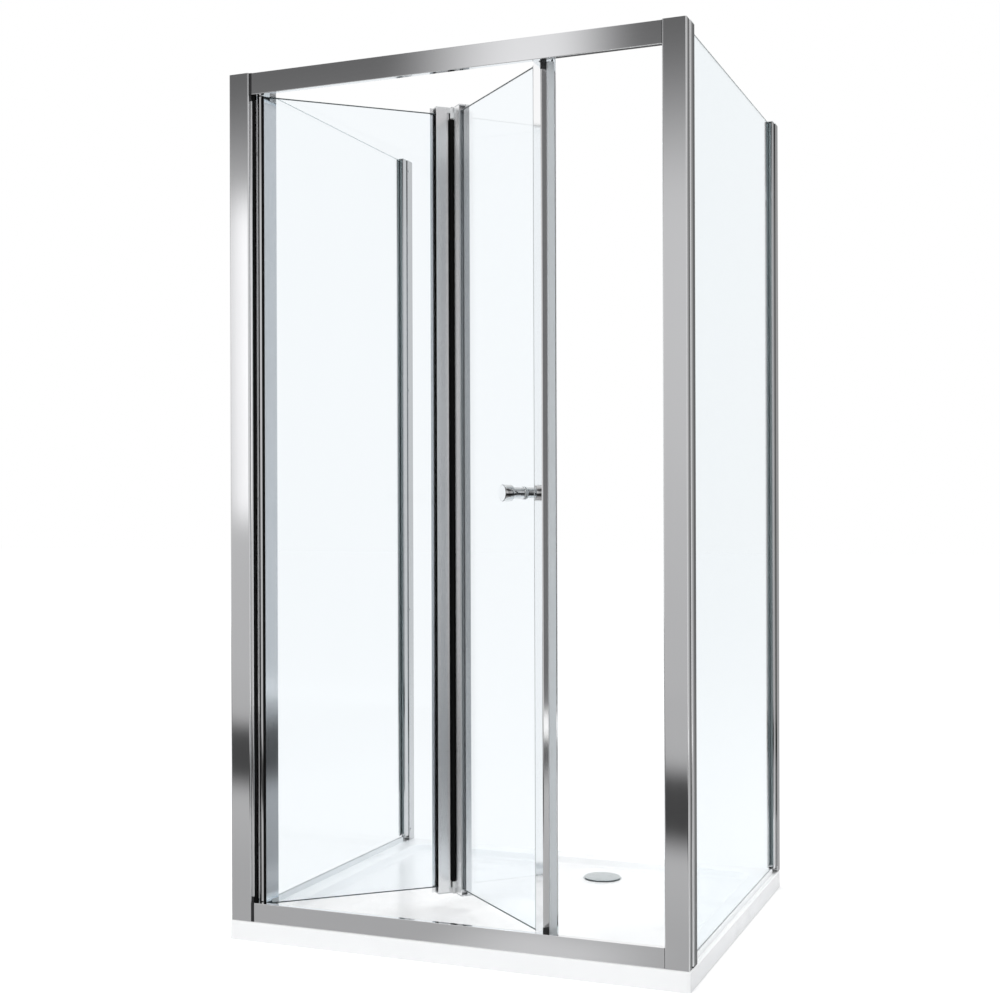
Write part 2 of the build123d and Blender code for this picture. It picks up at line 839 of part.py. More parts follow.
# Leaf 2, drawn closed

def closing_stile_section():
    x0 = leaf_end_x - closing_stile_width
    x1 = leaf_end_x
    y = leaf_face_y
    wall = alloy_wall
    depth = glass_rebate + 1
    section = rounded(x0, y, x1, y + closing_stile_depth, stile_corner_round)
    section -= rect(x0, y + slot_t0, x0 + depth, y + slot_t1)
    section -= rect(x0 + wall, y + slot_t1 + wall, x0 + depth, y + closing_stile_depth - wall)
    groove0 = y + closing_seal_offset
    groove1 = groove0 + closing_seal_width
    core = rect(x0 + depth + wall, y + wall, x1 - wall, y + closing_stile_depth - wall)
    core -= rect(x1 - 5 - wall, groove0 - wall, x1, groove1 + wall)
    section -= core
    section -= rect(x1 - 4, groove0 + 2, x1, groove1 - 2)
    section -= rect(x1 - 4, groove0 + 1, x1 - 2.4, groove1 - 1)
    return section


def closing_stile():
    return in_leaf(closing_stile_section()) - closing_cap_tab(True) - closing_cap_tab(False)


def closing_cap_tab(top):
    x1 = leaf_end_x
    y = leaf_face_y
    outline = rounded(x1 - closing_stile_width, y, x1, y + closing_stile_depth, stile_corner_round)
    edge = outline & rect(x1 - closing_tab_thickness, y, x1, y + closing_seal_offset - 1)
    z0 = stile_top - stile_cap_thickness - closing_tab_height if top else stile_bottom + stile_cap_thickness
    return rise(edge, z0, z0 + closing_tab_height)


def closing_stile_caps():
    parts = []
    x0 = leaf_end_x - closing_stile_width
    x1 = leaf_end_x
    y = leaf_face_y
    inner = alloy_wall + body_clearance
    outline = rounded(x0, y, x1, y + closing_stile_depth, stile_corner_round)
    plug = rect(x0 + glass_rebate + 1 + inner, y + inner, x1 - 5 - inner, y + closing_stile_depth - inner)
    for top in (True, False):
        z0 = stile_top - stile_cap_thickness if top else stile_bottom
        level = stile_top - 28 if top else stile_bottom
        cap = rise(outline, z0, z0 + stile_cap_thickness) + rise(plug, level, level + 28)
        cap += closing_cap_tab(top)
        parts.append(cap - rod(guide_x, pivot_y, level - 1, level + 29, guide_pin_diameter / 2))
    return group(parts)


def closing_seal():
    x = leaf_end_x
    y0 = leaf_face_y + closing_seal_offset
    y1 = y0 + closing_seal_width
    section = rounded(x, y0, x + closing_seal_thickness, y1, 1.2)
    section += rect(x - 2.4, y0 + 2, x + 1.5, y1 - 2)
    section += rect(x - 3.8, y0 + 1.2, x - 2.4, y1 - 1.2)
    section -= rect(x + 0.6, y0 + 3, x + closing_seal_thickness - 0.7, y1 - 3)
    return rise(section, glass_bottom, glass_top)


def leaf_2_glass():
    x0 = fold_x + fold_half_gap + fold_stile_width - glass_rebate
    x1 = leaf_end_x - closing_stile_width + glass_rebate
    section = rect(x0, leaf_face_y + glass_t0, x1, leaf_face_y + glass_t1)
    body = rise(section, glass_bottom, glass_top)
    body = chamfer(body.edges().filter_by(Axis.X), 0.6)
    return body - along_knob(0, glass_t1 + 2, knob_hole_diameter / 2)


def guide_pins():
    reach = 11.0
    top = rod(guide_x, pivot_y, stile_top - 27, header_track_bottom + reach, guide_pin_diameter / 2)
    bottom = rod(guide_x, pivot_y, sill_track_top - reach, stile_bottom + 27, guide_pin_diameter / 2)
    return group([top, bottom])


def guide_shoe(shelf, way):
    half = shoe_length / 2
    mouth = shelf - way * (alloy_wall + body_clearance)
    neck_half = track_slot_width / 2 - body_clearance
    outer = shelf + way * (leaf_end_clearance - 1)
    end = mouth - way * shoe_head_height
    neck = rect(guide_x - half + 4, track_y - neck_half, guide_x + half - 4, track_y + neck_half)
    head = Pos(guide_x, track_y) * Rectangle(shoe_length, shoe_head_width)
    body = rise(neck, min(outer, mouth), max(outer, mouth))
    body += chamfer(rise(head, min(mouth, end), max(mouth, end)).edges().filter_by(Axis.Z), 3)
    bore = guide_pin_diameter / 2 + running_clearance
    return body - rod(guide_x, track_y, min(outer, end) - 1, max(outer, end) + 1, bore)


# Gaskets of the two leaves

def glazing_strips(x_edge, side):
    y = leaf_face_y
    shown = x_edge + side * gasket_lip
    hidden = x_edge - side * 6
    front = rect(hidden, y + slot_t0 + strip_gap, shown, y + glass_t0 - strip_gap)
    front += rect(x_edge + side * strip_gap, y + 0.6, shown, y + glass_t0 - strip_gap)
    back = rect(hidden, y + glass_t1 + strip_gap, x_edge, y + slot_t1 - strip_gap)
    return [rise(front, glass_bottom, glass_top), rise(back, glass_bottom, glass_top)]


def pivot_strip():
    y = leaf_face_y
    edge = pivot_x - pivot_rebate
    front = rect(edge + strip_gap, y + 0.6, pivot_x, y + glass_t0 - strip_gap)
    front += rect(edge + strip_gap, y + 0.6, edge + pivot_edge_gap - strip_gap, y + slot_t1 - strip_gap)
    return rise(front, glass_bottom, glass_top)


def pivot_glass_tape():
    y0 = leaf_face_y + glass_t1 + strip_gap
    y1 = leaf_face_y + slot_t1 - strip_gap
    z0 = stile_bottom + stile_cap_thickness + 24
    z1 = stile_top - stile_cap_thickness - 24
    return block(pivot_x + 2, y0, z0, pivot_x + pivot_flange_length - 1, y1, z1)


def leaf_1_gaskets():
    return group([pivot_strip()] + glazing_strips(fold_x - fold_half_gap - fold_stile_width, -1))


def leaf_2_gaskets():
    fold_side = glazing_strips(fold_x + fold_half_gap + fold_stile_width, 1)
    return group(fold_side + glazing_strips(leaf_end_x - closing_stile_width, -1))


# Knob, on both faces of leaf 2

def knob_x():
    return leaf_end_x - closing_stile_width - knob_from_stile


def along_knob(t0, t1, radius):
    place = Pos(knob_x(), leaf_face_y + t0, tray_top + knob_height) * Rot(-90, 0, 0)
    return place * Pos(0, 0, (t1 - t0) / 2) * Cylinder(radius, t1 - t0)


def knob_solid():
    neck = knob_neck_diameter / 2
    cap = knob_cap_diameter / 2
    step = knob_neck_length
    total = knob_neck_length + knob_cap_length
    bevel = knob_cap_bevel
    outline = Polyline(
        (0, 0), (neck, 0), (neck, step), (cap, step), (cap, total - bevel), (cap - bevel, total),
        (0, total), close=True
    )
    body = revolve(Plane.XZ * make_face(outline), axis=Axis.Z)
    return body - rod(0, 0, -1, knob_stud_grip + body_clearance, knob_stud_diameter / 2)


def knob_outer():
    place = Pos(knob_x(), leaf_face_y + glass_t0 - knob_washer_thickness, tray_top + knob_height)
    return place * Rot(90, 0, 0) * knob_solid()


def knob_inner():
    place = Pos(knob_x(), leaf_face_y + glass_t1 + knob_washer_thickness, tray_top + knob_height)
    return place * Rot(-90, 0, 0) * knob_solid()


def knob_washers():
    parts = []
    bore = along_knob(-20, 30, knob_stud_diameter / 2 + body_clearance)
    radius = knob_neck_diameter / 2 + 1
    parts.append(along_knob(glass_t0 - knob_washer_thickness, glass_t0, radius) - bore)
    parts.append(along_knob(glass_t1, glass_t1 + knob_washer_thickness, radius) - bore)
    return group(parts)


def knob_stud():
    grip = knob_washer_thickness + knob_stud_grip
    return along_knob(glass_t0 - grip, glass_t1 + grip, knob_stud_diameter / 2)


def both_sides(parts):
    return group(list(parts) + [mirrored(part) for part in parts])


save(shower_tray(), "shower_tray")
save(waste_flange(), "waste_flange")
save(waste_seal(), "waste_seal")
save(waste_cover(), "waste_cover")
save(mirrored(corner_post()), "left_corner_post")
save(corner_post(), "right_corner_post")
save(both_sides([post_cap()]), "post_caps")
save(header_rail(), "header_rail")
save(sill_rail(), "sill_rail")
save(corner_brackets(), "corner_brackets")
save(hinge_jamb(), "hinge_jamb")
save(strike_jamb(), "strike_jamb")
save(jamb_seal(), "jamb_seal")
save(strike_magnet(), "strike_magnet")
save(pivot_block(header_track_bottom, -1), "pivot_block_top")
save(pivot_block(sill_track_top, 1), "pivot_block_bottom")
save(frame_screws(), "frame_screws")
for label, turn in (("left", mirrored), ("right", lambda shape: shape)):
    save(turn(panel_glass()), f"{label}_panel_glass")
    save(turn(front_channel()), f"{label}_front_channel")
    save(turn(glazing_profile()), f"{label}_glazing_profile")
    save(turn(wall_channel()), f"{label}_wall_channel")
    save(turn(panel_gaskets()), f"{label}_panel_gaskets")
    save(turn(bottom_seal()), f"{label}_bottom_seal")
save(both_sides([channel_foot()]), "channel_feet")
save(both_sides(setting_blocks()), "setting_blocks")
save(both_sides(channel_caps()), "channel_caps")
save(both_sides(profile_screws()), "profile_screws")
save(on_leaf_1(leaf_1_glass()), "leaf_1_glass")
save(on_leaf_1(pivot_stile()), "pivot_stile")
save(on_leaf_1(fold_stile_cut(-1)), "fold_stile_1")
save(on_leaf_1(pivot_glass_tape()), "pivot_glass_tape")
save(on_leaf_1(leaf_1_gaskets()), "leaf_1_gaskets")
save(on_leaf_1(leaf_1_caps()), "leaf_1_caps")
save(on_leaf_1(pivot_pins()), "pivot_pins")
save(on_leaf_1(fold_pins()), "fold_pins")
save(on_leaf_1(fold_gasket(-1)), "fold_gasket_1")
save(on_leaf_2(leaf_2_glass()), "leaf_2_glass")
save(on_leaf_2(fold_stile_cut(1)), "fold_stile_2")
save(on_leaf_2(closing_stile()), "closing_stile")
save(on_leaf_2(leaf_2_gaskets()), "leaf_2_gaskets")
save(on_leaf_2(group([fold_cap(1, True), fold_cap(1, False)])), "leaf_2_fold_caps")
save(on_leaf_2(closing_stile_caps()), "closing_stile_caps")
save(on_leaf_2(closing_seal()), "closing_seal")
save(on_leaf_2(fold_gasket(1)), "fold_gasket_2")
save(on_leaf_2(guide_pins()), "guide_pins")
save(on_leaf_2(knob_outer()), "knob_outer")
save(on_leaf_2(knob_inner()), "knob_inner")
save(on_leaf_2(knob_washers()), "knob_washers")
save(on_leaf_2(knob_stud()), "knob_stud")
save(on_guide(guide_shoe(header_track_bottom, -1)), "guide_shoe_top")
save(on_guide(guide_shoe(sill_track_top, 1)), "guide_shoe_bottom")
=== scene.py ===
import bpy
import bmesh
import math
from mathutils import Matrix, Vector


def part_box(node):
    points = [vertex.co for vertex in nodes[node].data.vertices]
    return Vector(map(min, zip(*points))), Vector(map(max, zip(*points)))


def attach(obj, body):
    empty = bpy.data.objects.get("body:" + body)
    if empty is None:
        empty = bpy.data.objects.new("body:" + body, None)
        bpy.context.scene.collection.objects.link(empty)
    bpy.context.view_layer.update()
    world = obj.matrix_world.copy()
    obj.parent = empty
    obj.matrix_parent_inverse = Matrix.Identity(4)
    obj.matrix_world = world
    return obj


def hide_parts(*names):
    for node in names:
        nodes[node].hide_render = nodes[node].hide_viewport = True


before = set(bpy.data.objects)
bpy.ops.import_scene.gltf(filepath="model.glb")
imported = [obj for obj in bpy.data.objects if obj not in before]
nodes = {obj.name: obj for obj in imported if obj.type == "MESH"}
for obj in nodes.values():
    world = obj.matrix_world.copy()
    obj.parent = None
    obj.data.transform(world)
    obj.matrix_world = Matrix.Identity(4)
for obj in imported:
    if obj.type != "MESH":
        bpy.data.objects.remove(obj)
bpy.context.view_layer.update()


# Shower tray: cast stone resin under a smooth white acrylic face, with a raised rim and a soft fall.
# It stands on the floor, and the posts and side panels are screwed and sealed down to its rim.
# The gloss is even, with the faint waviness of moulded acrylic; the faces that point right are painted a
# darker shade.
class Tone:
    def __init__(self, tree, socket):
        self.tree = tree
        self.socket = socket

    def made(self, kind, settings=None, inputs=None, output=0):
        return place(self.tree, kind, settings, inputs, output)

    def sum(self, operation, first, second):
        return self.made("ShaderNodeMath", {"operation": operation}, {0: first, 1: second})

    def __add__(self, other):
        return self.sum("ADD", self, other)

    def __radd__(self, other):
        return self.sum("ADD", other, self)

    def __sub__(self, other):
        return self.sum("SUBTRACT", self, other)

    def __rsub__(self, other):
        return self.sum("SUBTRACT", other, self)

    def __mul__(self, other):
        return self.sum("MULTIPLY", self, other)

    def __rmul__(self, other):
        return self.sum("MULTIPLY", other, self)

    def above(self, level):
        return self.sum("GREATER_THAN", self, level)

    def most(self, other):
        return self.sum("MAXIMUM", self, other)

    def size(self):
        return self.made("ShaderNodeMath", {"operation": "ABSOLUTE"}, {0: self})

    def spread(self, low, high, to_low=0.0, to_high=1.0):
        settings = {"interpolation_type": "SMOOTHSTEP"}
        return self.made("ShaderNodeMapRange", settings, {0: self, 1: low, 2: high, 3: to_low, 4: to_high})


def place(tree, kind, settings=None, inputs=None, output=0):
    node = tree.nodes.new(kind)
    for name, value in (settings or {}).items():
        if name == "stops":
            ramp = node.color_ramp.elements
            while len(ramp) < len(value):
                ramp.new(0.5)
            for element, (position, shade) in zip(ramp, value):
                element.position = position
                element.color = shade
        else:
            setattr(node, name, value)
    for name, value in (inputs or {}).items():
        if isinstance(value, Tone):
            tree.links.new(value.socket, node.inputs[name])
        else:
            node.inputs[name].default_value = value
    return Tone(tree, node.outputs[output]) if node.outputs else None


def finish_named(name):
    material = bpy.data.materials.new(name)
    material.use_nodes = True
    tree = material.node_tree
    tree.nodes.clear()
    return material, tree


def spot(tree, output="Object"):
    return place(tree, "ShaderNodeTexCoord", output=output)


def along(tree, axis):
    return place(tree, "ShaderNodeSeparateXYZ", None, {0: spot(tree)}, axis)


def facing_along(tree, axis):
    return place(tree, "ShaderNodeSeparateXYZ", None, {0: spot(tree, "Normal")}, axis)


def stretched(tree, scale, detail=2.0, roughness=0.5):
    point = place(tree, "ShaderNodeMapping", None, {"Vector": spot(tree), "Scale": scale})
    inputs = {"Vector": point, "Scale": 1.0, "Detail": detail, "Roughness": roughness}
    return place(tree, "ShaderNodeTexNoise", None, inputs)


def colour_between(tree, mask, first, second):
    return place(tree, "ShaderNodeMix", {"data_type": "RGBA"}, {0: mask, 6: first, 7: second}, 2)


def bumped(tree, height, strength, distance):
    inputs = {"Strength": strength, "Distance": distance, "Height": height}
    return place(tree, "ShaderNodeBump", None, inputs)


def surfaced(tree, inputs):
    shader = place(tree, "ShaderNodeBsdfPrincipled", None, inputs)
    place(tree, "ShaderNodeOutputMaterial", None, {"Surface": shader})


def coat(material, *names):
    for name in names:
        mesh = nodes[name].data
        mesh.materials.clear()
        mesh.materials.append(material)


acrylic_dull = (0.93, 0.938, 0.945, 1)
acrylic_clean = (0.95, 0.955, 0.96, 1)
acrylic_in_shade = (0.74, 0.745, 0.755, 1)
acrylic, tree = finish_named("white_acrylic")
wave = stretched(tree, (5.0, 5.0, 5.0), 1.0)
speck = stretched(tree, (900.0, 900.0, 900.0), 1.0)
even = colour_between(tree, wave, acrylic_dull, acrylic_clean)
# Painted shade: faces that point right turn to the darker acrylic_in_shade colour.
shaded_right_side = facing_along(tree, "X").spread(0.8, 0.98)
surfaced(tree, {
    "Base Color": colour_between(tree, shaded_right_side, even, acrylic_in_shade),
    "Roughness": 0.24 + wave * 0.05 + speck * 0.03,
    "Coat Weight": 0.2,
    "Coat Roughness": 0.06,
    "Normal": bumped(tree, wave, 0.06, 0.004),
})
coat(acrylic, "shower_tray")


# Waste: a polished brass flange clamped to the tray through a rubber ring, with a loose pressed cover.
# The cover is a shallow dome on four legs with feet; water runs in under its edge.
# It lifts out by hand for cleaning.
def turned(name, outline, centre, direction, segments=96):
    shape = bmesh.new()
    points = [shape.verts.new((radius, 0, height)) for radius, height in outline]
    edges = [shape.edges.new(pair) for pair in zip(points, points[1:])]
    bmesh.ops.spin(shape, geom=points + edges, cent=(0, 0, 0), axis=(0, 0, 1), angle=2 * math.pi,
                   steps=segments, use_merge=True)
    bmesh.ops.remove_doubles(shape, verts=shape.verts, dist=1e-6)
    bmesh.ops.recalc_face_normals(shape, faces=shape.faces)
    turn = Vector((0, 0, 1)).rotation_difference(Vector(direction)).to_matrix().to_4x4()
    bmesh.ops.transform(shape, matrix=Matrix.Translation(centre) @ turn, verts=shape.verts)
    return as_piece(name, shape)


smooth_below = math.radians(35)
bevel_above = math.radians(30)


def as_piece(name, shape, smooth=True):
    mesh = bpy.data.meshes.new(name)
    shape.to_mesh(mesh)
    shape.free()
    piece = bpy.data.objects.new(name, mesh)
    bpy.context.scene.collection.objects.link(piece)
    if smooth:
        mesh.shade_smooth()
        mesh.set_sharp_from_angle(angle=smooth_below)
    return piece


def softened(shape, radius):
    sharp = [edge for edge in shape.edges if edge.is_manifold and edge.calc_face_angle() > bevel_above]
    bmesh.ops.bevel(shape, geom=sharp, offset=radius, affect="EDGES", segments=3, profile=0.5, material=-1)


def rounded_corner(radius, height, round_by, steps=5):
    corner = []
    for step in range(steps + 1):
        turn = math.pi / 2 * step / steps
        reach = radius - round_by + round_by * math.cos(turn)
        corner.append((reach, height - round_by + round_by * math.sin(turn)))
    return corner


low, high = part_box("waste_cover")
cover_centre = Vector(((low[0] + high[0]) / 2, (low[1] + high[1]) / 2, 0))
cover_radius = (high[0] - low[0]) / 2
cover_foot = low[2]
cover_top = high[2]
cover_sheet = 0.0012
dome_rise = 0.0048
dome_steps = 9
edge_round = 0.0008
skirt_depth = 0.0068
leg_count = 4
leg_width = 0.008
leg_inside = 0.0237
leg_outside = 0.0327
leg_edge = 0.0003
tip_outside = 0.0251
tip_height = 0.01
steel_dull = (0.53, 0.57, 0.58, 1)
steel_clean = (0.60, 0.64, 0.65, 1)

bright, tree = finish_named("polished_cover")
ring_centre = (-0.102, -0.284, 0)
circles = place(tree, "ShaderNodeMapping", None, {"Vector": spot(tree), "Location": ring_centre})
rings = place(tree, "ShaderNodeTexWave", {"wave_type": "RINGS", "rings_direction": "Z"},
              {"Vector": circles, "Scale": 900.0, "Distortion": 1.2, "Detail": 2.0})
haze = stretched(tree, (60.0, 60.0, 60.0), 3.0)
surfaced(tree, {
    "Base Color": colour_between(tree, haze, steel_dull, steel_clean),
    "Metallic": 1.0,
    "Roughness": 0.24 + rings * 0.05 + haze * 0.08,
    "Normal": bumped(tree, rings, 0.04, 0.0004),
})
outline = []
for step in range(dome_steps + 1):
    share = step / dome_steps
    outline.append(((cover_radius - edge_round) * share, cover_top - dome_rise * share * share))
outline += [(cover_radius, cover_top - dome_rise - edge_round), (cover_radius, cover_top - skirt_depth),
            (cover_radius - cover_sheet, cover_top - skirt_depth)]
for step in range(dome_steps, -1, -1):
    share = step / dome_steps
    drop = cover_sheet + dome_rise * share * share
    outline.append(((cover_radius - cover_sheet) * share, cover_top - drop))
dome = turned("waste_cover_dome", outline, (0, 0, 0), (0, 0, 1))
cover = bmesh.new()
cover.from_mesh(dome.data)
for index in range(leg_count):
    leg = bmesh.new()
    profile = [(leg_inside, cover_foot), (tip_outside, cover_foot), (tip_outside, cover_foot + tip_height),
               (leg_outside, cover_foot + tip_height), (leg_outside, cover_top - 0.0038),
               (leg_inside, cover_top - 0.0032)]
    corners = [leg.verts.new((reach, -leg_width / 2, height)) for reach, height in profile]
    side = bmesh.ops.extrude_face_region(leg, geom=[leg.faces.new(corners)])
    moved = [item for item in side["geom"] if isinstance(item, bmesh.types.BMVert)]
    bmesh.ops.translate(leg, vec=(0, leg_width, 0), verts=moved)
    bmesh.ops.recalc_face_normals(leg, faces=leg.faces)
    softened(leg, leg_edge)
    quarter = Matrix.Rotation(2 * math.pi / leg_count * index, 3, "Z")
    bmesh.ops.rotate(leg, cent=(0, 0, 0), matrix=quarter, verts=leg.verts)
    leg.to_mesh(dome.data)
    leg.free()
    cover.from_mesh(dome.data)
bmesh.ops.translate(cover, vec=cover_centre, verts=cover.verts)
cover.to_mesh(dome.data)
cover.free()
dome.data.shade_smooth()
dome.data.set_sharp_from_angle(angle=smooth_below)
dome.data.materials.append(bright)
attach(dome, "waste_cover")
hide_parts("waste_cover")
coat(bright, "waste_flange")


# Frame: hollow aluminium extrusions with a bright satin chrome finish, cut square and screwed together.
# Faint drawing lines run along each length, so a post's lines stand up and a rail's lie along it.
# The posts stand on the tray's front corners; header and sill are plugged between them.
# Painted light and shade on right-facing chrome: depths of the bands painted lighter as highlights of the
# front lip and middle ridge, their strength, and the painted shade colour.
lip_highlight_edges = (-0.436, -0.433)
ridge_highlight_start = (-0.423, -0.420)
ridge_highlight_end = (-0.410, -0.407)
highlight_gleam = 0.45
chrome_in_shade = (0.05, 0.052, 0.055, 1)


def satin_chrome(name, grain_axis, tone=0.88, shaded=0.0, rough=0.045, edge_tint=1.0):
    material, tree = finish_named(name)
    # Painted shade: right-facing faces right of centre turn toward chrome_in_shade by the shaded amount, less
    # in the two bands painted lighter as highlights.
    shaded_side = facing_along(tree, "X").spread(0.78, 0.95) * along(tree, "X").above(0.0)
    depth = along(tree, "Y")
    lip_highlight = 1 - depth.spread(*lip_highlight_edges)
    ridge_highlight = depth.spread(*ridge_highlight_start) * (1 - depth.spread(*ridge_highlight_end))
    shade_stripes = 1 - lip_highlight.most(ridge_highlight) * highlight_gleam
    fine = [700.0, 700.0, 700.0]
    wide = [34.0, 34.0, 34.0]
    fine[grain_axis] = 2.0
    wide[grain_axis] = 1.2
    lines = stretched(tree, fine, 2.0, 0.6)
    bands = stretched(tree, wide, 2.0)
    cloud = stretched(tree, (7.0, 7.0, 7.0), 3.0)
    dull = (tone - 0.03, tone - 0.028, tone - 0.022, 1)
    clean = (tone + 0.02, tone + 0.022, tone + 0.028, 1)
    plain = colour_between(tree, cloud * 0.6 + lines * 0.4, dull, clean)
    surfaced(tree, {
        "Base Color": colour_between(tree, shaded_side * shade_stripes * shaded, plain, chrome_in_shade),
        "Metallic": 1.0,
        "Roughness": rough + lines * 0.02 + bands * 0.02 + cloud * 0.02,
        "Specular Tint": (edge_tint, edge_tint, edge_tint, 1),
        "Normal": bumped(tree, lines, 0.012, 0.0003),
    })
    return material


upright_chrome = satin_chrome("upright_satin_chrome", 2)
rail_chrome = satin_chrome("rail_satin_chrome", 0)
# Post chrome: painted shade and highlight bands on its right-facing faces, and a low edge tint that dims its
# grazing reflections.
post_chrome = satin_chrome("post_satin_chrome", 2, shaded=0.92, edge_tint=0.5)
coat(post_chrome, "left_corner_post", "right_corner_post", "post_caps")
coat(upright_chrome, "hinge_jamb", "strike_jamb")
coat(rail_chrome, "header_rail", "sill_rail")


# Corner brackets and bearing blocks: injection moulded nylon, black, with a fine spark-eroded grain.
# The brackets plug into the rails' hollow front and show as a black line beside the left post.
# The blocks and shoes sit in the tracks and take the steel pins.
nylon_black = (0.010, 0.010, 0.011, 1)
nylon_worn = (0.02, 0.02, 0.022, 1)
black_nylon, tree = finish_named("black_nylon")
grain = stretched(tree, (1500.0, 1500.0, 1500.0), 2.0, 0.6)
sheen = stretched(tree, (40.0, 40.0, 40.0), 2.0)
surfaced(tree, {
    "Base Color": colour_between(tree, sheen, nylon_black, nylon_worn),
    "Roughness": 0.36 + grain * 0.14 + sheen * 0.08,
    "Normal": bumped(tree, grain, 0.15, 0.0003),
})
coat(black_nylon, "corner_brackets", "pivot_block_top", "pivot_block_bottom", "guide_shoe_top",
     "guide_shoe_bottom", "closing_stile_caps", "channel_feet")


# Seals and gaskets: extruded rubber, black at the fold and grey beside the panels, pushed into slots.
# Matt, with fine lines along the length and a little dust where it has been handled.
def rubber(name, shade, gloss=0.12):
    material, tree = finish_named(name)
    drawn = stretched(tree, (900.0, 900.0, 4.0), 2.0)
    dust = stretched(tree, (25.0, 25.0, 6.0), 4.0, 0.6)
    dusty = tuple(value * 1.3 + 0.003 for value in shade)
    surfaced(tree, {
        "Base Color": colour_between(tree, dust, shade + (1,), dusty + (1,)),
        "Roughness": 0.52 + drawn * 0.15 + dust * 0.08,
        "Specular IOR Level": gloss,
        "Normal": bumped(tree, drawn, 0.12, 0.0003),
    })
    return material


coat(rubber("black_rubber", (0.0015, 0.0015, 0.0017)), "jamb_seal", "strike_magnet", "waste_seal",
     "leaf_1_gaskets", "fold_gasket_1", "fold_gasket_2")
coat(rubber("pale_rubber", (0.36, 0.38, 0.39), gloss=0.4), "leaf_2_gaskets")
coat(rubber("grey_rubber", (0.135, 0.162, 0.168)), "left_panel_gaskets", "right_panel_gaskets")


# Glass: clear toughened sheet, 6 mm thick, with ground and seamed edges.
# The faces are clear with a breath of blue, and the panes are one glass; their tints differ, lighter on the
# left pane and darker on the right pane and the leaves, as painted light and shade.
# The edges look dark grey-green because light is lost along the sheet; that dark is painted on the edges and
# on a thin band along the top and foot of each face, paler on the left pane and darkest on the leaves, as
# painted shade.
ground_width = 0.0016
glass_bend = 1.22
shadow_clear = (0.985, 0.992, 0.995, 1)


def clear_glass(name, face, tint, edge_shade, foot, top, band_shade_share):
    material, tree = finish_named(name)
    facing = place(tree, "ShaderNodeVectorMath", {"operation": "DOT_PRODUCT"},
                   {0: spot(tree, "Normal"), 1: face}, 1).size()
    level = along(tree, "Z")
    # Painted shade: a thin band along the top and foot of each face takes the dark edge colour, weighted per
    # pane.
    near_top = level.above(top - ground_width)
    near_foot = 1 - level.above(foot + ground_width)
    edge = (1 - facing.spread(0.90, 0.98)).most(near_top.most(near_foot) * band_shade_share)
    film = stretched(tree, (6.0, 6.0, 3.0), 3.0)
    ground = stretched(tree, (400.0, 400.0, 400.0), 2.0)
    deeper = tuple(value - 0.004 for value in tint) + (1,)
    paler = tuple(value + 0.004 for value in tint) + (1,)
    body = place(tree, "ShaderNodeBsdfPrincipled", None, {
        "Base Color": colour_between(tree, film, deeper, paler),
        "Roughness": film * 0.006,
        "IOR": glass_bend,
        "Transmission Weight": 1.0,
    })
    lighter = tuple(shade * 1.9 for shade in edge_shade)
    rim = place(tree, "ShaderNodeBsdfPrincipled", None, {
        "Base Color": colour_between(tree, ground, edge_shade + (1,), lighter + (1,)),
        "Roughness": 0.22 + ground * 0.2,
        "Specular IOR Level": 0.6,
    })
    sheet = place(tree, "ShaderNodeMixShader", None, {0: edge, 1: body, 2: rim})
    passing = place(tree, "ShaderNodeBsdfTransparent", None, {"Color": shadow_clear})
    shadow = place(tree, "ShaderNodeLightPath", None, None, "Is Shadow Ray")
    through = shadow * (1 - edge)
    whole = place(tree, "ShaderNodeMixShader", None, {0: through, 1: sheet, 2: passing})
    place(tree, "ShaderNodeOutputMaterial", None, {"Surface": whole})
    return material


open_angle = math.radians(44)
side_face = (1, 0, 0)
leaf_1_face = (math.sin(open_angle), -math.cos(open_angle), 0)
leaf_2_face = (-math.sin(open_angle), -math.cos(open_angle), 0)
# Lit and shaded copies of one glass: the pane tints and edge colours below are painted light and shade.
left_lit_tint = (0.988, 0.993, 0.995)
right_shaded_tint = (0.852, 0.902, 0.930)
leaf_shaded_tint = (0.930, 0.963, 0.985)
left_edge_shade = (0.60, 0.65, 0.66)
right_edge_shade = (0.16, 0.20, 0.205)
leaf_edge_shade = (0.045, 0.06, 0.065)
for name, glass, face, tint, edge_shade, band_shade_share in (
        ("left_glass", "left_panel_glass", side_face, left_lit_tint, left_edge_shade, 0.05),
        ("right_glass", "right_panel_glass", side_face, right_shaded_tint, right_edge_shade, 0.5),
        ("first_leaf_glass", "leaf_1_glass", leaf_1_face, leaf_shaded_tint, leaf_edge_shade, 0.9),
        ("second_leaf_glass", "leaf_2_glass", leaf_2_face, leaf_shaded_tint, leaf_edge_shade, 0.9)):
    low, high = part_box(glass)
    coat(clear_glass(name, face, tint, edge_shade, low[2], high[2], band_shade_share), glass)


# Side panel profiles: a front channel on each post, and at the wall a channel with an adjusting profile.
# The same satin chrome extrusion as the frame, a little darker at the wall: there a darker copy stands in as
# painted shade, and the right-facing faces of the right-hand wall profiles get more painted shade.
coat(post_chrome, "left_front_channel", "right_front_channel")
shaded_wall_chrome = satin_chrome("wall_satin_chrome", 2, tone=0.63, shaded=0.62, edge_tint=0.6)
coat(shaded_wall_chrome, "left_glazing_profile", "right_glazing_profile", "left_wall_channel", "right_wall_channel")


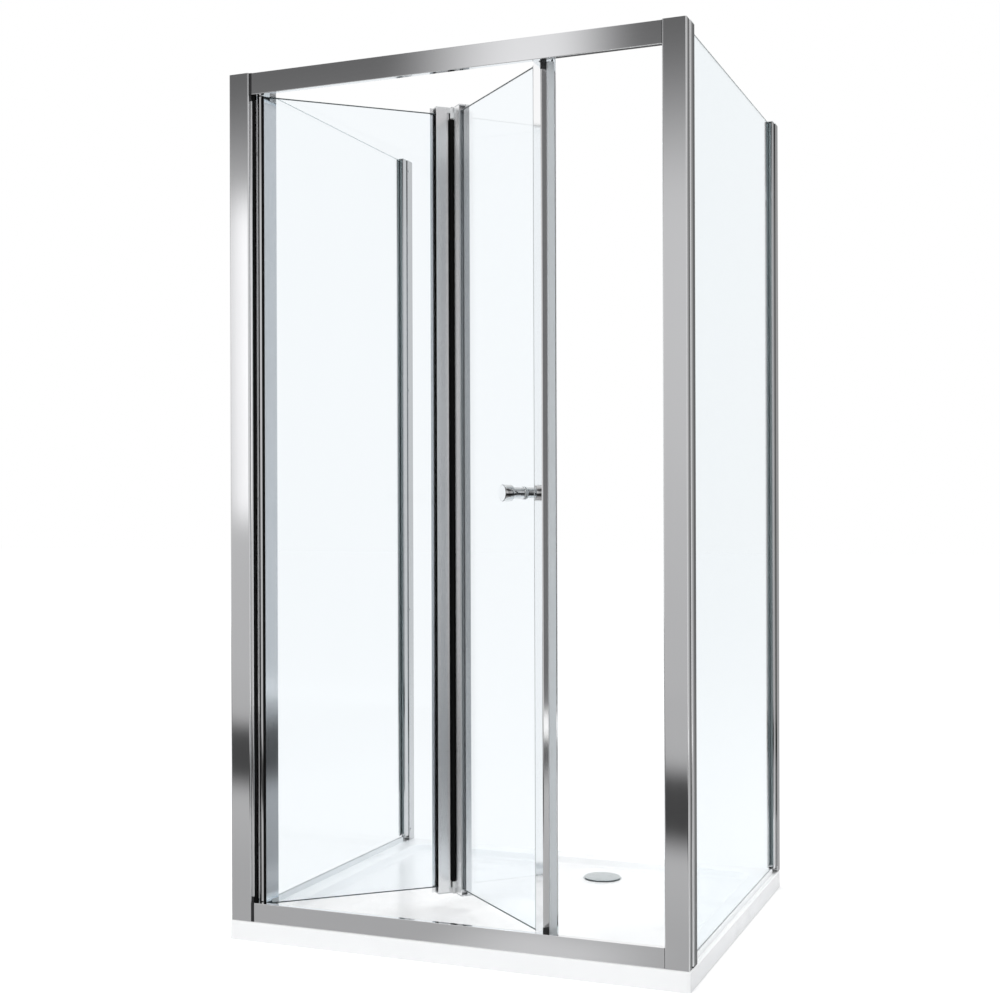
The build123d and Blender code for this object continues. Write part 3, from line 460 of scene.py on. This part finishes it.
# Sealing strips, setting blocks and end caps: soft milky plastic, extruded or moulded.
# The strips slip over the glass and the closing edge, and let some light through but blur it.
def milky(name, shade, through, rough):
    material, tree = finish_named(name)
    drawn = stretched(tree, (500.0, 500.0, 5.0), 2.0)
    cloud = stretched(tree, (18.0, 18.0, 9.0), 2.0)
    darker = tuple(value * 0.94 for value in shade) + (1,)
    surfaced(tree, {
        "Base Color": colour_between(tree, cloud, darker, shade + (1,)),
        "Roughness": rough + drawn * 0.12 + cloud * 0.05,
        "Transmission Weight": through,
        "IOR": 1.42,
        "Normal": bumped(tree, drawn, 0.08, 0.0004),
    })
    return material


coat(milky("panel_foot_strip", (0.93, 0.95, 0.96), 0.0, 0.22), "left_bottom_seal", "right_bottom_seal")
coat(milky("clear_strip", (0.93, 0.95, 0.955), 0.45, 0.18), "setting_blocks", "knob_washers")
coat(milky("closing_strip", (0.86, 0.90, 0.925), 0.4, 0.22), "closing_seal")
coat(milky("pale_cap", (0.70, 0.712, 0.72), 0.0, 0.28), "leaf_1_caps", "leaf_2_fold_caps", "channel_caps")


# Door leaves: each glass is bonded between two chrome stiles.
# A clear tape holds the first glass to its stile, the other edges are gripped by gaskets.
# The fold stiles carry lugs and steel pins at top and bottom, and the closing stile the guide pins.
coat(upright_chrome, "pivot_stile")
coat(satin_chrome("fold_satin_chrome", 2, tone=0.90, rough=0.20), "fold_stile_1", "fold_stile_2")
# The closing stile's chrome is a paler copy of the frame chrome: painted light that brightens its face.
coat(satin_chrome("closing_satin_chrome", 2, tone=0.94), "closing_stile")
tape_dull = (0.95, 0.955, 0.96, 1)
tape_clear = (0.99, 0.99, 0.99, 1)
tape, tree = finish_named("clear_tape")
grain = stretched(tree, (300.0, 300.0, 12.0), 2.0)
seen_through = place(tree, "ShaderNodeBsdfTransparent", None,
                     {"Color": colour_between(tree, grain, tape_dull, tape_clear)})
gloss = place(tree, "ShaderNodeBsdfGlossy", None, {"Color": (0.9, 0.9, 0.9, 1), "Roughness": 0.3})
tacky = place(tree, "ShaderNodeMixShader", None, {0: 0.02 + grain * 0.02, 1: seen_through, 2: gloss})
place(tree, "ShaderNodeOutputMaterial", None, {"Surface": tacky})
coat(tape, "pivot_glass_tape")
steel_dark = (0.56, 0.565, 0.57, 1)
steel_light = (0.68, 0.685, 0.69, 1)
pin_steel, tree = finish_named("pin_steel")
turnings = stretched(tree, (300.0, 300.0, 2600.0), 2.0)
surfaced(tree, {
    "Base Color": colour_between(tree, turnings, steel_dark, steel_light),
    "Metallic": 1.0,
    "Roughness": 0.18 + turnings * 0.12,
    "Normal": bumped(tree, turnings, 0.08, 0.0002),
})
coat(pin_steel, "pivot_pins", "fold_pins", "guide_pins", "knob_stud")


# Knob: one turned and chromed brass half on each face of the second leaf, drawn together by a stud.
# Each half has a wide cap and a straight neck that stands on a clear washer.
low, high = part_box("knob_washers")
knob_centre = Vector([(a + b) / 2 for a, b in zip(low, high)])
outward = Vector(leaf_2_face)
washer_half = 0.0045
neck_radius = 0.012
neck_end = 0.0245
groove_radius = 0.0116
cap_radius = 0.017
cap_round = 0.0014
knob_length = 0.046
# Painted reflection on the knob chrome: grey bands by how far each face points up, a painted highlight on the
# end face and painted shade at the cap's rounded corner.
knob_reflection_greys = [(0.0, 0.86), (0.22, 0.74), (0.32, 0.34), (0.37, 0.03), (0.46, 0.03), (0.50, 0.55), (0.57, 0.66),
              (0.66, 0.36), (0.80, 0.42), (0.92, 0.66), (1.0, 0.80)]
cap_face_highlight = (0.96, 0.96, 0.965, 1)
cap_corner_shade = (0.30, 0.31, 0.315, 1)
knob_chrome, tree = finish_named("knob_chrome")
smear = stretched(tree, (90.0, 90.0, 90.0), 3.0)
upward = facing_along(tree, "Z")
end_on = place(tree, "ShaderNodeVectorMath", {"operation": "DOT_PRODUCT"},
               {0: spot(tree, "Normal"), 1: outward}, 1)
stops = [(at, (grey, grey, grey, 1)) for at, grey in knob_reflection_greys]
reflection_streaks = place(tree, "ShaderNodeValToRGB", {"stops": stops}, {0: upward * 0.5 + 0.5 + smear * 0.02})
facing = end_on.size()
corner = facing.spread(0.2, 0.45) * (1 - facing.spread(0.93, 0.99))
shaded = colour_between(tree, corner, reflection_streaks, cap_corner_shade)
surfaced(tree, {
    "Base Color": colour_between(tree, facing.spread(0.93, 0.99), shaded, cap_face_highlight),
    "Metallic": 1.0,
    "Roughness": 0.06 + smear * 0.06,
})
knob_outline = [(0.0, 0.0), (neck_radius - 0.0008, 0.0), (neck_radius, 0.0008), (neck_radius, neck_end),
                (groove_radius, neck_end + 0.0004), (groove_radius, neck_end + 0.0008),
                (cap_radius - 0.0015, neck_end + 0.001), (cap_radius - 0.0004, neck_end + 0.0017),
                (cap_radius, neck_end + 0.003)]
knob_outline += rounded_corner(cap_radius, knob_length, cap_round)
knob_outline += [(0.0, knob_length)]
for side, name in ((1, "knob_outer"), (-1, "knob_inner")):
    foot = knob_centre + outward * side * washer_half
    knob = turned(name + "_turned", knob_outline, foot, outward * side)
    knob.data.materials.append(knob_chrome)
    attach(knob, "leaf_2")
    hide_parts(name)


# Screws: small stainless pan heads, cold formed and driven from inside the enclosure.
# Those of the jambs go into the posts, and those of the wall channels hold the adjusting profile.
screw_reach = 0.012
head_radius = 0.004
head_cut = 0.0006
head_flatness = 0.62
head_sink = 0.0003
seat_depth = 0.0024


def screw_heads(name, node):
    centres = []
    for vertex in nodes[node].data.vertices:
        point = Vector(vertex.co)
        for centre in centres:
            if (centre[0] - point).length < screw_reach:
                centre[1].append(point)
                break
        else:
            centres.append((point, [point]))
    whole = bmesh.new()
    for _, points in centres:
        lows = Vector([min(point[i] for point in points) for i in range(3)])
        highs = Vector([max(point[i] for point in points) for i in range(3)])
        middle = (lows + highs) / 2
        inward = -1 if middle.x > 0 else 1
        seat = lows.x + seat_depth if inward < 0 else highs.x - seat_depth
        head = bmesh.new()
        bmesh.ops.create_uvsphere(head, u_segments=24, v_segments=16, radius=head_radius)
        bmesh.ops.bisect_plane(head, geom=head.verts[:] + head.edges[:] + head.faces[:],
                               plane_co=(0, 0, head_cut), plane_no=(0, 0, 1), clear_inner=True)
        bmesh.ops.scale(head, vec=(1, 1, head_flatness), verts=head.verts)
        rim = [edge for edge in head.edges if edge.is_boundary]
        bmesh.ops.holes_fill(head, edges=rim)
        bmesh.ops.translate(head, vec=(0, 0, -head_sink), verts=head.verts)
        turn = Vector((0, 0, 1)).rotation_difference(Vector((inward, 0, 0))).to_matrix().to_4x4()
        seated = Matrix.Translation((seat, middle.y, middle.z)) @ turn
        bmesh.ops.transform(head, matrix=seated, verts=head.verts)
        part = bpy.data.meshes.new("head")
        head.to_mesh(part)
        head.free()
        whole.from_mesh(part)
        bpy.data.meshes.remove(part)
    piece = as_piece(name, whole)
    piece.data.materials.append(pin_steel)
    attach(piece, "frame")
    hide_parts(node)


screw_heads("jamb_screw_heads", "frame_screws")
screw_heads("channel_screw_heads", "profile_screws")


# Studio: a pale floor, a white surround and soft light from the front and above.
# Grey cards that show only in reflections give the chrome its dark and light bands.
card_left = -9
card_right = 3.2
card_front = -5
card_lift = 0.0005


def card(name, corners, shades, through_glass=True):
    shape = bmesh.new()
    shape.faces.new([shape.verts.new(corner) for corner in corners])
    piece = as_piece(name, shape, smooth=False)
    material, tree = finish_named(name)
    value = shades(tree)
    grey = place(tree, "ShaderNodeCombineColor", None, {0: value, 1: value, 2: value * 1.012})
    light = place(tree, "ShaderNodeEmission", None, {"Color": grey, "Strength": 1.0})
    bounced = place(tree, "ShaderNodeLightPath", None, None, "Glossy Depth").above(0.5)
    unseen = place(tree, "ShaderNodeBsdfTransparent")
    shown = place(tree, "ShaderNodeMixShader", None, {0: bounced, 1: unseen, 2: light})
    place(tree, "ShaderNodeOutputMaterial", None, {"Surface": shown})
    piece.data.materials.append(material)
    piece.visible_camera = False
    piece.visible_diffuse = False
    piece.visible_transmission = through_glass
    piece.visible_shadow = False
    piece.visible_volume_scatter = False


def front_shades(tree):
    across = along(tree, "X")
    up = along(tree, "Z")
    base = 0.50 + up.spread(0.0, 2.0) * 0.10 - up.spread(2.35, 3.35) * 0.46
    tall = across.spread(-3.25, -3.13) * (1 - across.spread(-3.06, -3.01)) * up.spread(0.76, 1.0)
    tall = tall * (1 - up.spread(2.5, 2.8))
    wide = across.spread(-2.3, -1.5) * (1 - across.spread(-1.35, -0.85)) * up.spread(2.75, 3.15)
    return base + tall * 0.72 + wide * 0.70


def floor_shades(tree):
    across = along(tree, "X")
    line = along(tree, "Y") - across * 0.24
    dark = line.spread(-3.1, -2.55) * (1 - line.spread(-1.95, -1.5))
    near = line.spread(-1.5, -0.7)
    bump = across.spread(-0.15, 0.12) * (1 - across.spread(0.2, 0.45)) * line.spread(-0.9, -0.65)
    return 0.48 - dark * 0.42 - (1 - dark) * near * 0.06 + bump * 0.2


def side_shades(tree):
    depth = along(tree, "Y")
    dark = depth.spread(-1.86, -1.68) * (1 - depth.spread(-1.25, -1.0))
    return 0.74 - dark * 0.59


def far_floor_shades(tree):
    return 0.11 + along(tree, "Y").spread(9.0, 12.0) * 0.1


def floor_corners(left, right, near, far):
    return [(left, near, card_lift), (right, near, card_lift),
            (right, far, card_lift), (left, far, card_lift)]


card("front_card", [(card_left, card_front, -0.02), (card_right, card_front, -0.02),
                    (card_right, card_front, 7), (card_left, card_front, 7)], front_shades)
card("floor_card", floor_corners(card_left, card_right, card_front, -0.47), floor_shades)
card("side_card", [(4, card_front, 0), (4, 0.4, 0), (4, 0.4, 6), (4, card_front, 6)], side_shades)
card("far_floor_card", floor_corners(-6, 0.4, 3, 12), far_floor_shades, through_glass=False)

shape = bmesh.new()
bmesh.ops.create_grid(shape, x_segments=1, y_segments=1, size=30)
ground = as_piece("studio_floor", shape, smooth=False)
floor_grey = (0.9, 0.905, 0.91, 1)
floor_pale = (0.91, 0.915, 0.92, 1)
pure_white = (1, 1, 1, 1)
pale, tree = finish_named("pale_floor")
cloud = stretched(tree, (0.5, 0.5, 0.5), 2.0)
matt = place(tree, "ShaderNodeBsdfDiffuse", None,
             {"Color": colour_between(tree, cloud, floor_grey, floor_pale)})
seen = place(tree, "ShaderNodeLightPath", None, None, "Is Camera Ray")
passed = place(tree, "ShaderNodeLightPath", None, None, "Is Transmission Ray")
mirrored = place(tree, "ShaderNodeLightPath", None, None, "Is Glossy Ray")
lift = seen.most(mirrored) * 0.22
glow = place(tree, "ShaderNodeEmission", None, {"Color": pure_white, "Strength": lift})
both = place(tree, "ShaderNodeAddShader", None, {0: matt, 1: glow})
even = place(tree, "ShaderNodeEmission", None, {"Color": pure_white, "Strength": 1.0})
whole = place(tree, "ShaderNodeMixShader", None, {0: passed * 0.9, 1: both, 2: even})
place(tree, "ShaderNodeOutputMaterial", None, {"Surface": whole})
ground.data.materials.append(pale)

world = bpy.data.worlds.new("studio")
bpy.context.scene.world = world
world.use_nodes = True
tree = world.node_tree
tree.nodes.clear()
sharp = place(tree, "ShaderNodeLightPath", None, None, "Is Camera Ray")
gloss = place(tree, "ShaderNodeLightPath", None, None, "Is Glossy Ray")
clear = place(tree, "ShaderNodeLightPath", None, None, "Is Transmission Ray")
open_air = sharp.most(clear).most(gloss)
level = 0.87 + open_air * 0.13
sky = place(tree, "ShaderNodeBackground", None, {"Color": pure_white, "Strength": level})
place(tree, "ShaderNodeOutputWorld", None, {"Surface": sky})


def soft_lamp(name, at, aim, size, power):
    lamp = bpy.data.lights.new(name, "AREA")
    lamp.shape = "DISK"
    lamp.size = size
    lamp.energy = power
    lamp.specular_factor = 0.0
    holder = bpy.data.objects.new(name, lamp)
    bpy.context.scene.collection.objects.link(holder)
    holder.location = at
    holder.rotation_euler = (Vector(aim) - Vector(at)).to_track_quat("-Z", "Y").to_euler()
    holder.visible_glossy = False


soft_lamp("front_lamp", (-1.8, -5.5, 5.2), (0, 0, 0.7), 3.0, 84.0)
soft_lamp("top_lamp", (0.1, 0.1, 4.2), (0.1, 0.0, 0.0), 1.4, 46.0)

# Camera: level, a little right of the door and far back, turned to the left as in the photograph.
camera_place = (1.19898, -3.27645, 0.90434)
camera_turn = math.radians(22.729)
camera_lean = math.radians(-0.181)
frame_width = 36.0
lens_ratio = 1.5315
camera_data = bpy.data.cameras.new("camera")
camera_data.sensor_fit = "HORIZONTAL"
camera_data.sensor_width = frame_width
camera_data.lens = frame_width * lens_ratio
camera_data.shift_x = 0.0491
camera_data.shift_y = 0.0134
camera = bpy.data.objects.new("camera", camera_data)
bpy.context.scene.collection.objects.link(camera)
heading = Matrix.Rotation(camera_turn, 4, "Z") @ Matrix.Rotation(math.radians(90.0), 4, "X")
lean = Matrix.Rotation(camera_lean, 4, "Z")
camera.matrix_world = Matrix.Translation(camera_place) @ heading @ lean
bpy.context.scene.camera = camera

bpy.context.scene.view_settings.view_transform = "Standard"
